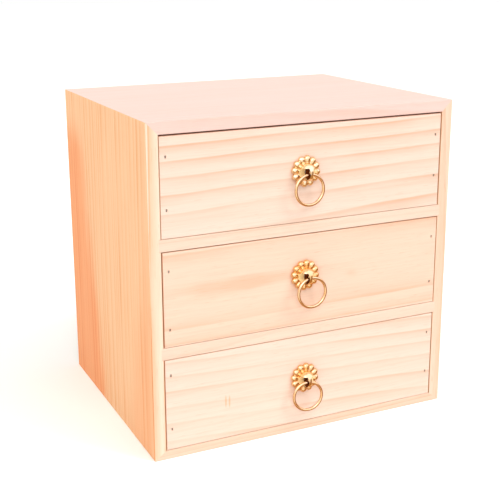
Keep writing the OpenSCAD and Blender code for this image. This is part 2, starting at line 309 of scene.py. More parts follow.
def pith_distance(b, given, bent):
    """The distance with the trunk's taper and the swelling round a knot, and how near the knot is."""
    along, across, through = b.split(bent)
    aside = b.less(across, given["Pith across"])
    deep = b.less(through, given["Pith depth"])
    radius = b.math("SQRT", b.plus(b.product(aside, aside), b.product(deep, deep)))
    radius = b.plus(radius, b.product(along, given["Taper"]))
    knot_x = b.less(along, given["Knot along"])
    knot_x = b.over(knot_x, b.product(given["Knot size"], KNOT_LENGTH))
    knot_y = b.over(b.less(across, given["Knot across"]), given["Knot size"])
    knot_far = b.plus(b.product(knot_x, knot_x), b.product(knot_y, knot_y))
    swelling = b.math("EXPONENT", b.product(knot_far, KNOT_REACH))
    swelling = b.product(swelling, given["Knot size"], KNOT_PUSH)
    return b.plus(radius, swelling), knot_far


print("a knot is", KNOT_LENGTH, "times as long as it is wide")

# %% One ring after another
# A season runs from 0 to 1. Wood changes from one share of it to another, up and then down.
LATE_WOOD, LATE_WOOD_STOPS = (0.15, 0.88), (0.90, 1.0, 1.0, 0.0)
LINE_WOOD, LINE_WOOD_STOPS = (0.74, 0.93), (0.94, 1.0, 1.0, 0.0)
YEAR_STEP = 0.055
MOST_UNEVEN = 3.0
WEAKEST_RING, WEAKEST_EVEN_RING = 0.35, 0.85
PATCHES = (0.009, 0.045, 0.045)


def year_rings(b, given, wood, radius):
    """Rings of uneven width and strength, each with a slow rise and a sharp end."""
    year = b.join(b.product(radius, YEAR_STEP), given["Seed"])
    uneven = b.less(b.noise(year, (1.0, 1.0, 1.0), 1.0), 0.5)
    uneven = b.product(uneven, b.rise(given["Evenness"], 0.0, 1.0, MOST_UNEVEN, 0.0))
    phase = b.plus(b.over(radius, given["Ring spacing"]), uneven)
    season = b.math("FRACT", phase)
    body = b.product(b.rise(season, *LATE_WOOD), b.rise(season, *LATE_WOOD_STOPS))
    line = b.product(b.rise(season, *LINE_WOOD), b.rise(season, *LINE_WOOD_STOPS))
    count = b.plus(b.math("FLOOR", phase), given["Seed"])
    strong = b.add("ShaderNodeTexWhiteNoise", {"W": count}, out="Value", noise_dimensions="1D")
    weakest = b.rise(given["Evenness"], 0.0, 1.0, WEAKEST_RING, WEAKEST_EVEN_RING)
    weight = b.product(b.rise(strong, 0.0, 1.0, weakest, 1.0), given["Strength"])
    patchy = b.rise(b.noise(wood, PATCHES, 2.0), 0.3, 0.7, 0.35, 1.15)
    return body, line, b.product(weight, patchy)


print("late wood begins", LATE_WOOD[0], "of the way through a ring")

# %% Fibres, resin streaks, the knot's heart and the end grain
FIBRES = (0.07, 3.0, 3.0)
STREAKS = (0.010, 0.42, 0.42)
DUCTS = (0.11, 1.9, 1.9)


def make_grain_group():
    group = new_grain_group()
    b = Bench(group)
    given = group.nodes.new("NodeGroupInput").outputs
    wood, bent = bend_trunk(b, given)
    radius, knot_far = pith_distance(b, given, bent)
    body, line, weight = year_rings(b, given, wood, radius)
    fibre = b.noise(wood, FIBRES, 2.0)
    streak = b.rise(b.noise(wood, STREAKS, 3.0), 0.42, 0.75)
    duct = b.rise(b.noise(wood, DUCTS, 0.0), 0.73, 0.82)
    dark_patch = b.math("EXPONENT", b.product(knot_far, -1.6))
    shade = b.blend(b.product(body, weight), given["Early wood"], given["Late wood"])
    shade = b.blend(b.product(streak, 0.4), shade, given["Late wood"])
    marks = ((b.product(line, weight), 0.75), (duct, 0.35), (dark_patch, 0.3), (given["End grain"], 0.55))
    for mark, amount in marks:
        shade = b.blend(b.product(mark, amount), shade, given["Line wood"])
    fleck = b.rise(fibre, 0.25, 0.75, 0.955, 1.03)
    shade = b.blend(1.0, shade, b.join(fleck, fleck, fleck), "MULTIPLY")
    rough = b.less(b.rise(fibre, 0.2, 0.8, 0.60, 0.72), b.product(body, 0.08))
    height = b.plus(b.product(body, 0.5), b.product(fibre, 0.6))
    results = b.tree.nodes.new("NodeGroupOutput").inputs
    for name, value in zip(GRAIN_RESULTS, (shade, rough, height)):
        b.fill(results[name], value)
    return group


grain_group = make_grain_group()
print("pine grain group:", len(grain_group.nodes), "nodes")

# %% [markdown]
# ## One material for each board
# Each board was sawn from its own place in a log. So each gets its own material: the same grain
# group, turned to the way its grain runs, with its own pith, ring spacing and tone. The numbers
# were set against the bands that the photograph shows on the three fronts and the left side.

# %% Tones, and a place on a board
AXES = {"X": 0, "Y": 1, "Z": 2}
TONES = {
    "front": ((0.760, 0.588, 0.490), (0.700, 0.475, 0.360), (0.640, 0.375, 0.240)),
    "middle": ((0.760, 0.548, 0.427), (0.715, 0.460, 0.330), (0.660, 0.360, 0.220)),
    # Side tone: partly the pine's own orange, partly painted shade of the side faces
    "side": ((0.770, 0.508, 0.312), (0.735, 0.398, 0.204), (0.660, 0.283, 0.115)),
    "top": ((0.760, 0.538, 0.488), (0.730, 0.482, 0.410), (0.680, 0.415, 0.320)),
    "shelf": ((0.750, 0.562, 0.450), (0.700, 0.470, 0.350), (0.640, 0.385, 0.255)),
    "inner": ((0.700, 0.545, 0.400), (0.640, 0.455, 0.310), (0.560, 0.350, 0.215)),
}


def new_material(name):
    material = bpy.data.materials.new(name)
    material.use_nodes = True
    return material, Bench(material.node_tree), material.node_tree.nodes["Principled BSDF"]


def grain_place(b, node, grain):
    """Millimetres from the board's middle: along, across and through it, in the order of grain."""
    low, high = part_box(node)
    middle = [(low[k] + high[k]) / 2 for k in range(3)]
    place = b.place()
    place = b.split(b.vector("MULTIPLY", b.vector("SUBTRACT", place, middle), (1 / MM, 1 / MM, 1 / MM)))
    return [place[AXES[letter]] for letter in grain]


print("tones:", ", ".join(TONES))

# %% [markdown]
# ## What lies over the grain
# A deeper orange is painted over the left side past a line that is seldom straight: painted shade.
# Resin gathers in short dashes. In the corner between a pull and its front, light has touched gold
# and wood on its way and comes warm. That is no stain but painted light, quicker than tracing every
# bounce.

# %% Painted side shade, resin and painted warm light
# The colour that deepens the left side as painted shade
PAINTED_SIDE_SHADE = colour(1.0, 0.72, 0.60)
RAGGED = (0.012, 0.10, 0.10)
SIDE_SHADE_FADE = 35
RESIN = colour(0.95, 0.72, 0.52)
RESIN_HALF_WIDTH, RESIN_HALF_HEIGHT = 0.9, 6.0
WARM_LIGHT = colour(1.0, 0.80, 0.68)
WARM_REACH = 7.0 * MM


def painted_side_shade(b, place, at_edge, shade, side, start, lean, width, depth, top):
    """Painted shade: deepens a face past a line across the board, up to a top; the side is 1 or -1."""
    past = b.less(b.product(place[1], side), b.product(place[0], lean))
    past = b.less(past, start)
    ragged = b.less(b.noise(b.join(*place), RAGGED, 2.0), 0.5)
    past = b.plus(past, b.product(ragged, width))
    below_top = b.rise(place[0], top, top + SIDE_SHADE_FADE, depth, 0.0)
    amount = b.product(b.rise(past, -0.5 * width, 0.5 * width), below_top)
    amount = b.product(amount, b.less(1.0, at_edge))
    return b.blend(amount, shade, PAINTED_SIDE_SHADE, "MULTIPLY")


def resin_pocket(b, place, shade, along, across):
    """A short dash of resin that stands across the grain."""
    aside = b.over(b.less(place[0], along), RESIN_HALF_WIDTH)
    up = b.over(b.less(place[1], across), RESIN_HALF_HEIGHT)
    far = b.plus(b.product(aside, aside), b.product(up, up))
    return b.blend(b.rise(far, 0.2, 1.0, 0.75, 0.0), shade, RESIN, "MULTIPLY")


# Painted warm light: a front turns warmer where a pull shuts it in, in place of bounced light
def painted_warm_bounce(b, shade):
    open_air = b.add("ShaderNodeAmbientOcclusion", {"Distance": WARM_REACH}, "AO", samples=8)
    return b.blend(b.rise(open_air, 0.45, 0.95, 0.8, 0.0), shade, WARM_LIGHT, "MULTIPLY")


print("warm light reaches", round(WARM_REACH / MM), "mm from a pull")

# %% The material of one board
GRAIN_DEPTH = 0.06


def pine(name, grain, tone, seed, across=60.0, depth=60.0, spacing=4.5, wave=1.0, strength=0.8,
         taper=0.012, even=0.0, knot=(0.0, 0.0, 0.001), edge=(1.0, 1.0, 1.0), side_shades=(), pockets=()):
    """grain names the axes along, across and through the board; knot is its place and size;
    edge tints the narrow edges; side_shades place painted shade, and pockets place resin."""
    material, b, shader = new_material("pine " + name.replace("_", " "))
    place = grain_place(b, name, grain)
    normal = b.split(b.add("ShaderNodeTexCoord", out="Normal"))
    at_end = b.rise(b.math("ABSOLUTE", normal[AXES[grain[0]]]), 0.6, 0.9)
    at_edge = b.rise(b.math("ABSOLUTE", normal[AXES[grain[1]]]), 0.6, 0.9)
    early, late, line = (colour(*values) for values in TONES[tone])
    settings = {
        "Place": b.join(*place), "Seed": seed, "Pith across": across, "Pith depth": depth,
        "Ring spacing": spacing, "Wave": wave, "Strength": strength, "Taper": taper, "End grain": at_end,
        "Early wood": early, "Late wood": late, "Line wood": line,
        "Evenness": even, "Knot along": knot[0], "Knot across": knot[1], "Knot size": knot[2],
    }
    group = b.tree.nodes.new("ShaderNodeGroup")
    group.node_tree = grain_group
    for key, value in settings.items():
        b.fill(group.inputs[key], value)
    shade = b.blend(at_edge, group.outputs["Colour"], colour(*edge), "MULTIPLY")
    for dark_patch in side_shades:
        shade = painted_side_shade(b, place, at_edge, shade, **dark_patch)
    for pocket in pockets:
        shade = resin_pocket(b, place, shade, *pocket)
    # The fronts get painted warm light round their pulls.
    if name.endswith("front"):
        shade = painted_warm_bounce(b, shade)
    b.paint(shader, shade, group.outputs["Roughness"])
    shader.inputs["Specular IOR Level"].default_value = 0.3
    b.relief(shader, 0.35, GRAIN_DEPTH, group.outputs["Height"])
    return material


print("the grain is", GRAIN_DEPTH, "mm deep")

# %% Every board's material
# Where painted shade deepens the left side, in mm from the middle of the board
front_side_shade = dict(side=1, start=42, lean=0.20, width=28, depth=1.0, top=76)
back_side_shade = dict(side=-1, start=84, lean=0.35, width=40, depth=0.45, top=150)
pine_by_node = {
    # A side's edge tint takes the painted shade of the side tone off its narrow front edge.
    "left_side": pine("left_side", "ZYX", "side", seed=3.0, across=-150, depth=70, spacing=6.0, wave=0.8,
                      strength=1.3, edge=(1.0, 1.21, 1.55), side_shades=(front_side_shade, back_side_shade)),
    "right_side": pine("right_side", "ZYX", "side", seed=11.0, across=130, depth=-80, spacing=6.0,
                       wave=0.9, strength=1.1, edge=(0.98, 1.09, 1.38)),
    "top_board": pine("top_board", "XYZ", "top", seed=21.0, across=140, depth=-60, spacing=5.5,
                      strength=0.6),
    "bottom_board": pine("bottom_board", "XYZ", "shelf", seed=31.0, across=-120, spacing=5.0,
                         strength=0.7, edge=(1.0, 0.95, 0.91)),
    "lower_shelf": pine("lower_shelf", "XYZ", "shelf", seed=42.0, across=120, depth=50, spacing=4.0,
                        wave=0.8),
    "upper_shelf": pine("upper_shelf", "XYZ", "shelf", seed=53.0, across=-140, depth=45, wave=0.8,
                        strength=0.7),
    "upper_front": pine("upper_front", "XZY", "front", seed=66.0, across=-59, depth=51, spacing=8.91,
                        wave=0.8, strength=0.80, taper=-0.019, even=0.85),
    "middle_front": pine("middle_front", "XZY", "middle", seed=77.0, across=6.5, depth=63.3,
                         spacing=5.26, wave=0.5, strength=0.55, taper=0.0, even=1.0, knot=(38, 0, 2.6)),
    "lower_front": pine("lower_front", "XZY", "front", seed=85.0, across=-101, depth=78.5, spacing=9.62,
                        strength=0.56, taper=0.040, even=0.8, pockets=((-67.9, -5.7), (-64.9, -6.3))),
}
WALLS = (("left_wall", "YZX", 0.0), ("right_wall", "YZX", 3.1), ("back_wall", "XZY", 6.7))
WALL_SEED, DRAWER_STEP = 100.0, 13
for number, drawer in enumerate(DRAWERS):
    for part, grain, shift in WALLS:
        name = drawer + "_" + part
        seed = WALL_SEED + DRAWER_STEP * number + shift
        pine_by_node[name] = pine(name, grain, "inner", seed, across=50 + 20 * shift, depth=55, wave=1.1)
print("board materials:", len(pine_by_node))

# %% [markdown]
# ## Plywood
# The drawer floors and the back panel are thin plywood. Its face was peeled off a turning log,
# so the figure is wide and faint, and its edge shows three layers with the middle one turned.

# %% Plywood material
def plywood(name, grain, thickness, seed):
    material, b, shader = new_material("plywood " + name.replace("_", " "))
    along, across, through = grain_place(b, name, grain)
    middle_ply_half = thickness / 6
    inner = b.math("LESS_THAN", b.math("ABSOLUTE", through), middle_ply_half)
    face_run = b.join(along, across, seed)
    core_run = b.join(across, along, seed + 7)
    figure = b.noise(face_run, (0.006, 0.05, 0.1), 3.0)
    rings = b.math("PINGPONG", b.product(figure, 9.0), 0.5)
    fibre = b.noise(face_run, (0.08, 2.4, 1.0), 2.0)
    core = b.noise(core_run, (0.08, 2.4, 1.0), 2.0)
    pale, deep = colour(0.720, 0.570, 0.410), colour(0.640, 0.470, 0.310)
    face = b.blend(b.rise(rings, 0.1, 0.5, 0.0, 0.7), pale, deep)
    face = b.blend(b.rise(fibre, 0.45, 0.8, 0.0, 0.35), face, colour(0.560, 0.380, 0.230))
    middle_ply = b.blend(core, colour(0.50, 0.34, 0.20), colour(0.62, 0.44, 0.28))
    b.paint(shader, b.blend(inner, face, middle_ply), b.rise(fibre, 0.2, 0.8, 0.62, 0.74))
    shader.inputs["Specular IOR Level"].default_value = 0.3
    b.relief(shader, 0.3, 0.05, fibre)
    return material


PANEL_PLY, FLOOR_PLY = 4.0, 3.0
ply_by_node = {"back_panel": plywood("back_panel", "ZXY", PANEL_PLY, seed=5.0)}
for number, drawer in enumerate(DRAWERS):
    node = drawer + "_floor"
    ply_by_node[node] = plywood(node, "XYZ", FLOOR_PLY, seed=20.0 + 9 * number)
print("plywood pieces:", len(ply_by_node))

# %% [markdown]
# ## Boards with softened edges
# No sanded board has a razor edge: each free arris is rounded by a few strokes of paper, and the
# light catches it. Where two boards are glued, the edge stays sharp and only a hair of a line
# shows. The exact board comes from a merged copy of the CAD solid, and a Bevel modifier rounds
# its edges. A weight on each edge says how much: full on a free edge, almost nothing at a joint.

# %% A merged copy, and which edges meet a neighbour
WELD = 0.002 * MM
FLAT = math.radians(0.6)
TOUCH = 0.06 * MM


def welded_copy(node):
    shape = bmesh.new()
    shape.from_mesh(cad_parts[node].data)
    bmesh.ops.remove_doubles(shape, verts=shape.verts, dist=WELD)
    return shape


def merged_copy(node):
    """A welded copy whose flat faces are whole again, not cut up into triangles."""
    shape = welded_copy(node)
    bmesh.ops.dissolve_limit(shape, angle_limit=FLAT, verts=shape.verts, edges=shape.edges)
    return shape


def surface_of(nodes):
    """The neighbours' faces in a form that answers quickly how near a point is."""
    corners, faces = [], []
    for node in nodes:
        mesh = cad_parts[node].data
        faces += [[k + len(corners) for k in polygon.vertices] for polygon in mesh.polygons]
        corners += [vertex.co.copy() for vertex in mesh.vertices]
    return BVHTree.FromPolygons(corners, faces)


def touches(surface, edge):
    first, second = (vertex.co for vertex in edge.verts)
    for share in (0.15, 0.5, 0.85):
        hit = surface.find_nearest(first.lerp(second, share))
        if hit[3] is None or hit[3] > TOUCH:
            return False
    return True


print("an edge is a joint when its neighbour is within", round(TOUCH / MM, 2), "mm")

# %% Rounding a mitred corner of the cabinet
CORNER_CUTS = 4


def saw(shape, spot, direction):
    """Cuts off all that lies past the spot in that direction, and closes the cut."""
    everything = shape.verts[:] + shape.edges[:] + shape.faces[:]
    plane = {"plane_co": spot, "plane_no": direction}
    bmesh.ops.bisect_plane(shape, geom=everything, clear_outer=True, dist=1e-7, **plane)
    open_edges = [edge for edge in shape.edges if edge.is_boundary]
    if open_edges:
        bmesh.ops.holes_fill(shape, edges=open_edges)


def round_corner(shape, corner, inward, radius):
    """Planes that touch a quarter round cut the sharp corner; each board keeps its half."""
    centre = Vector((corner[0] + inward[0] * radius, 0, corner[1] + inward[1] * radius))
    for step in range(CORNER_CUTS):
        angle = math.radians(90 * (step + 0.5) / CORNER_CUTS)
        out = Vector((-inward[0] * math.cos(angle), 0, -inward[1] * math.sin(angle)))
        saw(shape, centre + out * radius, out)
    bmesh.ops.recalc_face_normals(shape, faces=shape.faces)


print("each mitred corner gets", CORNER_CUTS, "cuts")

# %% From a solid to a finished board
CORNER_ROUND = 0.7 * MM
SLIVER = 0.12 * MM
SHARP = math.radians(30)
GLUED = 0.06


def board(node, body, material, neighbours, free, corners=()):
    """free is how far a free edge is rounded, in mm; a glued edge keeps a hair's breadth."""
    shape = merged_copy(node)
    for corner, inward in corners:
        round_corner(shape, corner, inward, CORNER_ROUND)
    bmesh.ops.remove_doubles(shape, verts=shape.verts, dist=SLIVER)
    surface = surface_of(neighbours)
    weights = shape.edges.layers.float.new("bevel_weight_edge")
    rounded = 0
    for edge in shape.edges:
        if len(edge.link_faces) != 2 or edge.calc_face_angle() < SHARP:
            continue
        joint = touches(surface, edge)
        edge[weights] = GLUED / free if joint else 1.0
        rounded += not joint
    mesh = to_mesh(shape, node + "_board")
    mesh.shade_smooth()
    mesh.materials.append(material)
    piece = to_object(mesh, node + "_board")
    soft = piece.modifiers.new("softened edges", "BEVEL")
    soft.width = free * MM
    soft.segments = 3
    soft.limit_method = "WEIGHT"
    soft.use_clamp_overlap = False
    flat = piece.modifiers.new("flat faces", "WEIGHTED_NORMAL")
    flat.weight = 80
    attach(piece, body)
    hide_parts(node)
    print(node, "free edges rounded:", rounded)


EASED = {"panel": 0.25, "case": 0.4, "front": 0.3, "wall": 0.5, "floor": 0.2, "screw": 0.25}
print("free edges are rounded, in mm:", EASED)

# %% [markdown]
# ## The cabinet
# Four boards meet in mitres, two shelves sit in shallow housings, and a thin panel closes the
# back. The four outer corners are rounded after the glue has set, so the round runs across both
# boards of a mitre.

# %% Cabinet boards
cabinet_nodes = ["left_side", "right_side", "top_board", "bottom_board"]
cabinet_nodes += ["lower_shelf", "upper_shelf", "back_panel"]
(left, _, foot), (right, _, crown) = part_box("left_side")[0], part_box("right_side")[1]
inward = {
    "left_side": [((left, crown), (1, -1)), ((left, foot), (1, 1))],
    "right_side": [((right, crown), (-1, -1)), ((right, foot), (-1, 1))],
    "top_board": [((left, crown), (1, -1)), ((right, crown), (-1, -1))],
    "bottom_board": [((left, foot), (1, 1)), ((right, foot), (-1, 1))],
}
for node in cabinet_nodes:
    others = [name for name in cabinet_nodes if name != node] + ["panel_pins"]
    if node == "back_panel":
        board(node, "cabinet", ply_by_node[node], others, EASED["panel"])
    else:
        outer = inward.get(node, ())
        board(node, "cabinet", pine_by_node[node], others, EASED["case"], corners=outer)

# %% [markdown]
# ## The drawers
# Each drawer is a box of four boards round a thin floor. Its front was sanded by itself, so all
# four face edges are eased, and it stands a hair inside its opening.

# %% Drawer boards
for drawer in DRAWERS:
    parts = [drawer + "_" + part for part in ("front", "left_wall", "right_wall", "back_wall", "floor")]
    box = drawer + "_drawer"
    nailed = [drawer + "_front_brads", drawer + "_back_brads"]
    for node in parts:
        others = [name for name in parts if name != node] + nailed
        if node.endswith("floor"):
            board(node, box, ply_by_node[node], others, EASED["floor"])
        elif node.endswith("front"):
            board(node, box, pine_by_node[node], others, EASED["front"])
        else:
            board(node, box, pine_by_node[node], others, EASED["wall"])

# %% [markdown]
# ## Brads and pins
# A nail gun shoots flat strips of steel with a small T head, and leaves them just under the
# wood. Dozens of the same thing are no work for a modeller: a Geometry Nodes tree builds one brad
# from its sizes and sets it on a point for each. The points are read off the CAD solids, so a
# brad always sits in its slot.

# %% Steel material
def make_steel():
    material, b, shader = new_material("galvanised steel")
    place = b.place()
    bloom = b.noise(place, (900, 900, 900), 3.0)
    drawn = b.noise(place, (4000, 300, 4000), 1.0)
    shader.inputs["Metallic"].default_value = 1.0
    dull, bright = colour(0.30, 0.28, 0.26), colour(0.46, 0.45, 0.43)
    shade = b.blend(b.rise(bloom, 0.35, 0.65), dull, bright)
    b.paint(shader, shade, b.rise(drawn, 0.3, 0.7, 0.38, 0.55))
    b.relief(shader, 0.3, 0.02, drawn)
    return material


steel = make_steel()
print("steel ready")

# %% The brad tree
BRAD_SIZES = {
    "Strip": 1.1, "Shank": 1.2, "Head": 2.0, "Head height": 0.8, "Sink": 0.5, "Point": 1.5,
    "Length": 20.0,
}
OVERLAP = 0.02 * MM


def brad_tree():
    tree = new_tree("brads", BRAD_SIZES)
    b = Bench(tree)
    given = tree.nodes.new("NodeGroupInput").outputs

    def bar(width, length, start, taper=1.0):
        size = b.join(given["Strip"], length, width)
        solid = b.add("GeometryNodeMeshCube", {"Size": size}, out="Mesh")
        if taper != 1.0:
            spot = b.add("GeometryNodeInputPosition")
            far = b.add("FunctionNodeCompare", {0: b.split(spot)[1], 1: 0.0}, operation="GREATER_THAN")
            thin = b.vector("MULTIPLY", spot, (1.0, 1.0, taper))
            change = {"Geometry": solid, "Selection": far, "Position": thin}
            solid = b.add("GeometryNodeSetPosition", change)
        move = b.join(0.0, b.plus(start, b.product(length, 0.5)))
        return b.add("GeometryNodeTransform", {"Geometry": solid, "Translation": move})

    neck = b.plus(given["Sink"], given["Head height"])
    run = b.less(b.less(given["Length"], given["Head height"]), given["Point"])
    head = bar(given["Head"], given["Head height"], given["Sink"])
    shank = bar(given["Shank"], b.plus(run, OVERLAP), b.less(neck, OVERLAP))
    point = bar(given["Shank"], given["Point"], b.plus(neck, run), taper=0.25)
    joined = tree.nodes.new("GeometryNodeJoinGeometry")
    for solid in (head, shank, point):
        tree.links.new(solid, joined.inputs[0])
    aim = b.add("GeometryNodeInputNamedAttribute", {"Name": "aim"}, data_type="FLOAT_VECTOR")
    place_and_dress(b, given["Geometry"], joined.outputs[0], aim, given["Metal"])
    return tree


brad_work = brad_tree()
print("brad tree:", len(brad_work.nodes), "nodes")

# %% Points from the CAD solids, and the finished brads
PIN_LENGTH, BRAD_LENGTH = 12, 20


def islands(node):
    """The box of each separate solid in one node, in order of place."""
    shape = welded_copy(node)
    left_over, found = set(shape.verts), []
    while left_over:
        stack, group = [left_over.pop()], []
        while stack:
            vertex = stack.pop()
            group.append(vertex.co.copy())
            for edge in vertex.link_edges:
                other = edge.other_vert(vertex)
                if other in left_over:
                    left_over.discard(other)
                    stack.append(other)
        axes = list(zip(*group))
        found.append((Vector([min(axis) for axis in axes]), Vector([max(axis) for axis in axes])))
    shape.free()
    return sorted(found, key=lambda box: tuple(box[0]))


def set_brads(node, body, length, from_back):
    spots, aims = [], []
    for low, high in islands(node):
        middle = (low + high) / 2
        sink = BRAD_SIZES["Sink"] * MM
        face = high.y + sink if from_back else low.y - sink
        spots.append((middle.x, face, middle.z))
        across = math.pi / 2 if high.x - low.x > high.z - low.z else 0.0
        aims.append((0.0, across, math.pi if from_back else 0.0))
    points = bpy.data.meshes.new(node + "_points")
    points.from_pydata(spots, [], [])
    points.attributes.new("aim", "FLOAT_VECTOR", "POINT").data.foreach_set("vector", np.array(aims).ravel())
    holder = to_object(points, node + "_holder")
    add_tree(holder, brad_work, {"Metal": steel, "Length": length * MM})
    piece = plain_mesh(holder, node + "_set")
    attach(piece, body)
    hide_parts(node)
    print(node, len(spots), "brads,", len(piece.data.polygons), "faces")


set_brads("panel_pins", "cabinet", PIN_LENGTH, from_back=True)
for drawer in DRAWERS:
    for end, from_back in (("_front_brads", False), ("_back_brads", True)):
        set_brads(drawer + end, drawer + "_drawer", BRAD_LENGTH, from_back)

# %% [markdown]
# ## Gilt
# The pulls are cast, polished and gilded. A bright metal shows what is round it, so its colour
# is kept simple: a warm gold, a little deeper in patches, with the faint unevenness that
# polishing leaves. A measure of how shut in each spot is darkens the hollows to orange brown,
# as painted shade. Inside the eye the gold is painted almost black, also painted shade, and the
# eye's two mouths are plain gold. Which faces those are is written on the mesh further down.

# %% Gilt material
# How far the painted shade in hollows reaches, and its colour
PAINTED_SHADE_REACH = 2.0 * MM
PAINTED_SHADE_GOLD = colour(0.58, 0.24, 0.06)
MOUTH_GOLD = colour(1.0, 0.74, 0.36)
# The colour painted inside the eye as shade
EYE_PAINTED_SHADE = colour(0.13, 0.04, 0.015)


def make_gilt(name, body, deep, edge=(0.80, 0.48, 0.26)):
    material, b, shader = new_material(name)
    place = b.place()
    patch = b.noise(place, (220, 220, 220), 2.0)
    rub = b.noise(place, (2500, 2500, 2500), 2.0)
    reach = {"Distance": PAINTED_SHADE_REACH}
    open_air = b.add("ShaderNodeAmbientOcclusion", reach, "AO", samples=8, only_local=True)
    painted_eye_shade = b.add("ShaderNodeAttribute", out="Fac", attribute_name="inside the eye")
    mouth = b.add("ShaderNodeAttribute", out="Fac", attribute_name="mouth of the eye")
    # Hollows are darkened to orange brown as painted shade.
    painted_recess_shade = b.product(b.rise(open_air, 0.15, 0.70, 1.0, 0.0), b.less(1.0, mouth))
    shader.inputs["Specular Tint"].default_value = colour(*edge)
    gold = b.blend(b.rise(patch, 0.35, 0.65), colour(*body), colour(*deep))
    gold = b.blend(painted_recess_shade, gold, PAINTED_SHADE_GOLD)
    gold = b.blend(mouth, gold, MOUTH_GOLD)
    b.fill(shader.inputs["Metallic"], b.rise(mouth, 0.0, 1.0, 1.0, 0.1))
    dull = b.plus(b.product(painted_recess_shade, 0.25), b.product(b.plus(painted_eye_shade, mouth), 0.35))
    rough = b.plus(b.rise(rub, 0.3, 0.7, 0.10, 0.18), dull)
    # Inside the eye the gold is painted almost black as painted shade.
    b.paint(shader, b.blend(painted_eye_shade, gold, EYE_PAINTED_SHADE), rough)
    b.relief(shader, 0.15, 0.02, rub)
    return material


# The upper pull's gilt is a lighter copy of the gold: a painted reflection of the overhead light.
gilt = {
    "lower": make_gilt("gilt lower", (0.96, 0.72, 0.42), (0.93, 0.64, 0.32)),
    "middle": make_gilt("gilt middle", (0.96, 0.71, 0.40), (0.93, 0.63, 0.30)),
    "upper": make_gilt("gilt upper with painted reflection", (0.98, 0.82, 0.56), (0.96, 0.74, 0.43)),
}
wire_gilt = make_gilt("gilt wire", (0.98, 0.76, 0.48), (0.95, 0.65, 0.36), (0.66, 0.29, 0.09))
print("gilt:", len(gilt), "tones")

# %% [markdown]
# ## Rosettes
# Twelve plump petals stand round a ball with an eye through it. The petals repeat, so a Geometry
# Nodes tree makes one along a short line, fat at the rim and slim at the ball, and turns twelve
# of them round the middle. The ball and its plate are a turned shape, spun from a profile.

# %% The petal tree
PETAL_SIZES = {
    "Petals": 12, "Start": 5.5, "Bead ring": 9.15, "Bead": 2.55, "Stem": 1.9, "Lift": 0.8,
    "Inner lift": 0.9,
}
PETAL_TURN = math.radians(-7)
STEM_STEPS, ROUND_STEPS, BEAD_ROWS = 12, 40, 28


def petal_tree():
    tree = new_tree("petals", PETAL_SIZES)
    b = Bench(tree)
    given = tree.nodes.new("NodeGroupInput").outputs
    start = b.join(given["Start"], 0.0, given["Inner lift"])
    end = b.join(given["Bead ring"], 0.0, given["Lift"])
    line = b.add("GeometryNodeCurvePrimitiveLine", {"Start": start, "End": end})
    line = b.add("GeometryNodeResampleCurve", {"Curve": line, "Count": STEM_STEPS})
    share = b.add("GeometryNodeSplineParameter", out="Factor")
    growth = b.product(b.rise(share, 0.0, 1.0), b.less(given["Bead"], given["Stem"]))
    width = b.plus(given["Stem"], growth)
    line = b.add("GeometryNodeSetCurveRadius", {"Curve": line, "Radius": width})
    circle = {"Resolution": ROUND_STEPS, "Radius": 1.0}
    ring = b.add("GeometryNodeCurvePrimitiveCircle", circle, "Curve")
    sweep = {"Curve": line, "Profile Curve": ring, "Fill Caps": True, "Scale": width}
    stem = b.add("GeometryNodeCurveToMesh", sweep)
    bead = {"Segments": ROUND_STEPS, "Rings": BEAD_ROWS, "Radius": given["Bead"]}
    ball = b.add("GeometryNodeMeshUVSphere", bead, "Mesh")
    ball = b.add("GeometryNodeTransform", {"Geometry": ball, "Translation": end})
    petal = tree.nodes.new("GeometryNodeJoinGeometry")
    tree.links.new(stem, petal.inputs[0])
    tree.links.new(ball, petal.inputs[0])
    points = b.add("GeometryNodePoints", {"Count": given["Petals"]})
    step = b.over(math.tau, given["Petals"])
    angle = b.plus(b.product(b.add("GeometryNodeInputIndex"), step), PETAL_TURN)
    place_and_dress(b, points, petal.outputs[0], b.join(0.0, 0.0, angle), given["Metal"])
    return tree


petal_work = petal_tree()
print("petal tree:", len(petal_work.nodes), "nodes")

# %% Turned shapes
TURN_STEPS = 96


def turned(profile, steps=TURN_STEPS):
    """Spins a list of (radius, height) points in mm round the Z axis; the ends lie on it."""
    shape = bmesh.new()
    rows = []
    for radius, height in profile:
        if radius < 1e-9:
            rows.append([shape.verts.new((0, 0, height * MM))])
            continue
        angles = (math.tau * k / steps for k in range(steps))
        spots = ((radius * math.cos(a) * MM, radius * math.sin(a) * MM, height * MM) for a in angles)
        rows.append([shape.verts.new(spot) for spot in spots])
    for low, high in zip(rows, rows[1:]):
        for k in range(steps):
            spots = ((low, k), (low, k + 1), (high, k + 1), (high, k))
            corners = list(dict.fromkeys(row[n % len(row)] for row, n in spots))
            if len(corners) > 2:
                shape.faces.new(corners)
    bmesh.ops.recalc_face_normals(shape, faces=shape.faces)
    return to_mesh(shape, "turned")


print("a turned shape has", TURN_STEPS, "steps round")

# %% [markdown]
# ## Casting
# A casting has no sharp inner corners: metal flows together. So petals, plate and ball are
# joined, and a fine voxel skin and a little smoothing melt them into one soft shape. The eye was
# cut after that, so its edges are crisp. It is narrow in the middle, where the ring hangs on a
# web, and wide at both mouths, where the ring has to lean.

